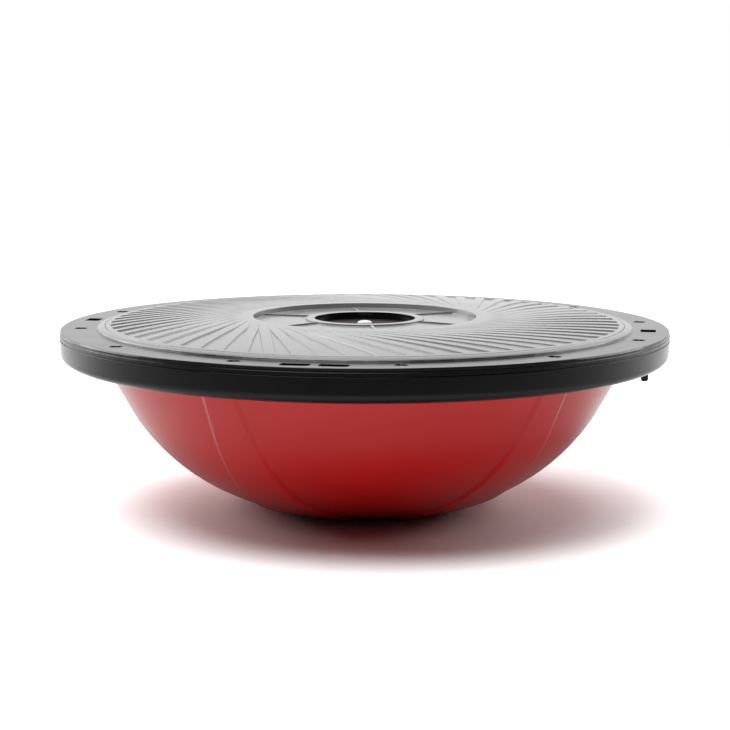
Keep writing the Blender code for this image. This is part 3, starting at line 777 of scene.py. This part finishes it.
def make_screw(index, place, surface):
    head_foot = -COUNTERBORE_DEPTH + GAP
    head_top = head_foot + HEAD_HEIGHT
    profile = [(0, head_top)]
    for step in range(1, HEAD_STEPS + 1):
        angle = math.pi / 2 * step / HEAD_STEPS
        profile.append((HEAD_RADIUS * math.sin(angle), head_foot + HEAD_HEIGHT * math.cos(angle)))
    profile += [(SHANK_RADIUS, head_foot), (0, head_foot - SHANK_LENGTH)]
    centre = at(SCREW_CIRCLE, place, 0)
    turn = place + index * HEAD_TURN_STEP
    number = index + 1
    made = gather(f"rim_screw_{number:02d}", [placed(lathe_body(profile, SMALL_ROUND), centre, turn)])
    cutter = placed(prism(cross_outline(), head_top - CROSS_DEPTH, head_top + EASE), centre, turn)
    cut(made, [("DIFFERENCE", [cutter])])
    dress(made, surface, "trainer", [f"screw_{number:02d}"])


def bow_body():
    """A rounded bar swept down one leg, round the bottom and up the other, about the bow's middle plane."""
    half = ANCHOR_SLOT[1] / 2 - ANCHOR_SIDE_GAP - BOW_BAR / 2
    start = -ANCHOR_HEAD_DEPTH - ANCHOR_HEAD_HEIGHT / 2
    bend = CLAMP_UNDER - BOW_DROP + BOW_BAR / 2 + half
    path = [(-half, start, 0.0)]
    for step in range(BOW_STEPS + 1):
        angle = math.pi * step / BOW_STEPS
        path.append((-half * math.cos(angle), bend - half * math.sin(angle), angle))
    path.append((half, start, math.pi))
    section = rounded_rectangle(BOW_THICK, BOW_BAR, BOW_CORNER)
    points = []
    for across, height, angle in path:
        for radial, side in section:
            points.append(Vector((radial, across - side * math.cos(angle), height - side * math.sin(angle))))
    count = len(section)
    faces = [tuple(reversed(range(count))), tuple(range((len(path) - 1) * count, len(path) * count))]
    for base in range(0, (len(path) - 1) * count, count):
        for i in range(count):
            j = (i + 1) % count
            faces.append((base + i, base + j, base + count + j, base + count + i))
    return points, faces


def make_anchor(name, side, surface):
    length = ANCHOR_SLOT[0] - 2 * ANCHOR_SIDE_GAP
    width = ANCHOR_SLOT[1] - 2 * ANCHOR_SIDE_GAP
    outline = rounded_rectangle(length, width, ANCHOR_CORNER - ANCHOR_SIDE_GAP / 2)
    body = prism(outline, -ANCHOR_HEAD_DEPTH - ANCHOR_HEAD_HEIGHT, -ANCHOR_HEAD_DEPTH)
    turn = 0 if side > 0 else math.pi
    centre = (side * BOW_CIRCLE, 0, 0)
    head = gather(f"band_eye_{name}", [placed(placed(body, (BOW_SETBACK, 0, 0)), centre, turn)])
    cut(head, [("UNION", [placed(bow_body(), centre, turn)])])
    dress(head, surface, "trainer", [f"band_anchor_{name}"])


def shader_of(name):
    made = bpy.data.materials.new(name)
    made.use_nodes = True
    return made, made.node_tree, made.node_tree.nodes["Principled BSDF"]


def add(tree, kind, **values):
    """A node with its inputs set by name."""
    node = tree.nodes.new(kind)
    for name, value in values.items():
        node.inputs[name.replace("_", " ")].default_value = value
    return node


def blend(tree, factor, first, second):
    """The mixed colour of two, each given as a colour or as an output to link."""
    node = tree.nodes.new("ShaderNodeMix")
    node.data_type = "RGBA"
    tree.links.new(factor, node.inputs["Factor"])
    for name, value in (("A", first), ("B", second)):
        if isinstance(value, tuple):
            node.inputs[name].default_value = (*value, 1)
        else:
            tree.links.new(value, node.inputs[name])
    return node.outputs["Result"]


def combine(tree, operation, first, second):
    """The result of a Math node; the first value is linked, and the second is linked or a number."""
    node = tree.nodes.new("ShaderNodeMath")
    node.operation = operation
    tree.links.new(first, node.inputs[0])
    if isinstance(second, float):
        node.inputs[1].default_value = second
    else:
        tree.links.new(second, node.inputs[1])
    return node.outputs["Value"]


def measured(tree, operation, place, other):
    """A number worked out from a place and a fixed vector, such as a distance."""
    node = tree.nodes.new("ShaderNodeVectorMath")
    node.operation = operation
    node.inputs[1].default_value = other
    tree.links.new(place, node.inputs[0])
    return node.outputs["Value"]


def ramp(tree, value, edges, low, high, smooth=False):
    """Maps a value from its two edges to low and high, and holds it there outside them."""
    node = add(tree, "ShaderNodeMapRange", From_Min=edges[0], From_Max=edges[1], To_Min=low, To_Max=high)
    if smooth:
        node.interpolation_type = "SMOOTHSTEP"
    tree.links.new(value, node.inputs["Value"])
    return node.outputs["Result"]


def object_place(tree):
    return tree.nodes.new("ShaderNodeTexCoord").outputs["Object"]


def noise(tree, scale, detail):
    node = add(tree, "ShaderNodeTexNoise", Scale=scale, Detail=detail)
    tree.links.new(object_place(tree), node.inputs["Vector"])
    return node.outputs["Fac"]


def roughen(tree, shader, height, strength, distance):
    """A bump from the given heights."""
    bump = add(tree, "ShaderNodeBump", Strength=strength, Distance=distance)
    tree.links.new(height, bump.inputs["Height"])
    tree.links.new(bump.outputs["Normal"], shader.inputs["Normal"])


def cloud_over(tree, shader, dull, bright, scale, roughness, spread):
    """Soft clouds that vary the roughness by spread either way, and the colour from dull to bright."""
    cloud = noise(tree, scale, detail=3.0)
    rough = ramp(tree, cloud, (0.0, 1.0), roughness - spread, roughness + spread)
    tree.links.new(rough, shader.inputs["Roughness"])
    tree.links.new(blend(tree, cloud, dull, bright), shader.inputs["Base Color"])


def plastic(name, colour, roughness, grain):
    """Moulded plastic: a fine even grain, faint clouding of the gloss and of the colour."""
    made, tree, shader = shader_of(name)
    roughen(tree, shader, noise(tree, scale=1800.0, detail=2.0), strength=grain, distance=0.00005)
    dull = tuple((1 - COLOUR_DRIFT) * value for value in colour)
    bright = tuple((1 + COLOUR_DRIFT) * value for value in colour)
    cloud_over(tree, shader, dull, bright, scale=22.0, roughness=roughness, spread=0.04)
    return made


def vinyl(name, dull, bright, roughness, specular=0.5, coat=0.0):
    """Soft PVC skin: satin, with a faint leather-like pebble and a slight drift of its colour."""
    made, tree, shader = shader_of(name)
    pebble = add(tree, "ShaderNodeTexVoronoi", Scale=900.0)
    pebble.feature = "SMOOTH_F1"
    tree.links.new(object_place(tree), pebble.inputs["Vector"])
    roughen(tree, shader, pebble.outputs["Distance"], strength=0.15, distance=0.00006)
    cloud_over(tree, shader, dull, bright, scale=14.0, roughness=roughness, spread=0.05)
    shader.inputs["Specular IOR Level"].default_value = specular
    shader.inputs["Coat Weight"].default_value = coat
    shader.inputs["Coat Roughness"].default_value = COAT_ROUGHNESS
    return made


def board_plastic():
    return plastic("grey board plastic", colour=(0.27, 0.27, 0.273), roughness=0.18, grain=0.20)


# Gloss black of the rim, also put on the centre hole's wall as painted shade
def rim_and_hole_shade_plastic():
    return plastic("gloss black edge plastic and painted hole shade", colour=(0.012, 0.012, 0.013), roughness=0.16, grain=0.06)


def ring_plastic():
    return plastic("black ring plastic", colour=(0.007, 0.007, 0.008), roughness=0.15, grain=0.06)


def anchor_plastic():
    return plastic("black anchor plastic", colour=(0.010, 0.010, 0.011), roughness=0.28, grain=0.1)


def plug_plastic():
    return plastic("white plug plastic", colour=(0.90, 0.885, 0.88), roughness=0.34, grain=0.1)


def red_vinyl():
    return vinyl("red vinyl", dull=(0.66, 0.008, 0.008), bright=(0.73, 0.010, 0.010), roughness=0.30,
                 coat=0.9)


# Near-black red of the membrane: painted shade standing in for the dark inside the centre hole
def membrane_shade_vinyl():
    return vinyl("membrane vinyl painted dark as shade", dull=(0.008, 0.003, 0.003), bright=(0.012, 0.004, 0.004), roughness=0.50,
                 specular=0.15)


def steel():
    """Plated steel with a gloss that varies in small patches."""
    made, tree, shader = shader_of("zinc-plated steel")
    shader.inputs["Metallic"].default_value = 1.0
    shader.inputs["Base Color"].default_value = (0.88, 0.88, 0.89, 1)
    patches = noise(tree, scale=700.0, detail=4.0)
    rough = ramp(tree, patches, (0.0, 1.0), low=0.08, high=0.16)
    tree.links.new(rough, shader.inputs["Roughness"])
    return made


def make_camera():
    camera = bpy.data.objects.new("camera", bpy.data.cameras.new("camera"))
    bpy.context.scene.collection.objects.link(camera)
    camera.data.lens = LENS
    camera.data.sensor_width = SENSOR
    camera.data.shift_x, camera.data.shift_y = CAMERA_SHIFT
    turn = Matrix.Rotation(CAMERA_TURN, 3, "Z") @ Matrix.Rotation(CAMERA_TILT, 3, "X")
    camera.rotation_euler = (turn @ Matrix.Rotation(CAMERA_ROLL, 3, "Z")).to_euler()
    camera.location = CAMERA_PLACE
    bpy.context.scene.camera = camera


def facing_vector():
    """The level direction in which the camera looks."""
    return Vector((-math.sin(CAMERA_TURN), math.cos(CAMERA_TURN), 0))


def aside_vector():
    """The level direction to the camera's right."""
    return Vector((math.cos(CAMERA_TURN), math.sin(CAMERA_TURN), 0))


def floor_surface():
    """White and nearly matt; its mirror images fade towards the camera, and it glows outside the shadow."""
    made, tree, shader = shader_of("white floor")
    shader.inputs["Roughness"].default_value = FLOOR_ROUGHNESS
    shader.inputs["Specular IOR Level"].default_value = FLOOR_SPECULAR
    path = tree.nodes.new("ShaderNodeLightPath")
    place = object_place(tree)
    white = (FLOOR_WHITE, FLOOR_WHITE, FLOOR_WHITE)
    behind = measured(tree, "DOT_PRODUCT", place, facing_vector())
    depth = ramp(tree, behind, (-FLOOR_FRONT, MIRROR_REACH), 0.0, 1.0)
    far_share = combine(tree, "POWER", depth, MIRROR_FALL)
    radius = measured(tree, "DISTANCE", place, (0, 0, 0))
    near_share = ramp(tree, radius, MIRROR_NEAR, MIRROR_NEAR_SHARE, 0.0)
    mirrored = blend(tree, combine(tree, "MAXIMUM", far_share, near_share), (0, 0, 0), white)
    tint = blend(tree, path.outputs["Is Glossy Ray"], white, mirrored)
    shown = blend(tree, path.outputs["Is Camera Ray"], tint, (1, 1, 1))
    tree.links.new(shown, shader.inputs["Base Color"])
    centre = aside_vector() * GLOW_CENTRE[0] + facing_vector() * GLOW_CENTRE[1]
    away = measured(tree, "DISTANCE", place, centre)
    glow = ramp(tree, away, GLOW_EDGES, 0.0, GLOW_STRENGTH, smooth=True)
    seen = combine(tree, "MULTIPLY", glow, path.outputs["Is Camera Ray"])
    tree.links.new(seen, shader.inputs["Emission Strength"])
    shader.inputs["Emission Color"].default_value = (1, 1, 1, 1)
    return made


def make_floor():
    """One white floor, which ends a little way in front of the object."""
    ahead = facing_vector()
    aside = aside_vector()
    corners = [(-FLOOR_SIZE, -FLOOR_FRONT), (FLOOR_SIZE, -FLOOR_FRONT), (FLOOR_SIZE, FLOOR_SIZE),
               (-FLOOR_SIZE, FLOOR_SIZE)]
    points = [tuple(aside * across + ahead * along) for across, along in corners]
    mesh = bpy.data.meshes.new("floor")
    mesh.from_pydata(points, [], [(0, 1, 2, 3)])
    mesh.materials.append(floor_surface())
    made = bpy.data.objects.new("floor", mesh)
    bpy.context.scene.collection.objects.link(made)


def make_world():
    """White behind, dark at the sides and on the camera's side, and plain white to the camera."""
    world = bpy.data.worlds.new("studio")
    bpy.context.scene.world = world
    world.use_nodes = True
    tree = world.node_tree
    back = tree.nodes["Background"]
    direction = tree.nodes.new("ShaderNodeTexCoord").outputs["Generated"]
    facing = measured(tree, "DOT_PRODUCT", direction, facing_vector())
    level = ramp(tree, facing, WORLD_EDGES, WORLD_DARK, 1.0, smooth=True)
    path = tree.nodes.new("ShaderNodeLightPath")
    share = ramp(tree, path.outputs["Is Glossy Ray"], (0.0, 1.0), AMBIENT, 1.0)
    dimmed = combine(tree, "MULTIPLY", level, share)
    pick = add(tree, "ShaderNodeMix", B=1.0)
    tree.links.new(path.outputs["Is Camera Ray"], pick.inputs["Factor"])
    tree.links.new(dimmed, pick.inputs["A"])
    tree.links.new(pick.outputs["Result"], back.inputs["Strength"])
    back.inputs["Color"].default_value = (1, 1, 1, 1)


def make_light(name, turn, height, width, strength):
    """A broad soft light that is even over the whole set."""
    lamp = bpy.data.objects.new(name, bpy.data.lights.new(name, "SUN"))
    bpy.context.scene.collection.objects.link(lamp)
    lamp.data.energy = strength
    lamp.data.angle = width
    level = Matrix.Rotation(-turn, 3, "Z") @ -facing_vector()
    towards = level * math.cos(height) + Vector((0, 0, math.sin(height)))
    lamp.rotation_euler = (-towards).to_track_quat("-Z", "Y").to_euler()


def main():
    make_camera()
    make_floor()
    make_world()
    make_light("key light", *KEY_LIGHT)
    make_light("left light", *LEFT_LIGHT)
    make_light("right light", *RIGHT_LIGHT)
    make_light("strip light", *STRIP_LIGHT)
    make_platform(board_plastic(), rim_and_hole_shade_plastic())
    make_channel(ring_plastic())
    make_dome(red_vinyl(), membrane_shade_vinyl())
    make_plug(plug_plastic())
    metal = steel()
    for index, place in enumerate(screw_places()):
        make_screw(index, place, metal)
    black = anchor_plastic()
    make_anchor("right", 1, black)
    make_anchor("left", -1, black)
    bpy.context.scene.view_settings.view_transform = "Standard"


main()
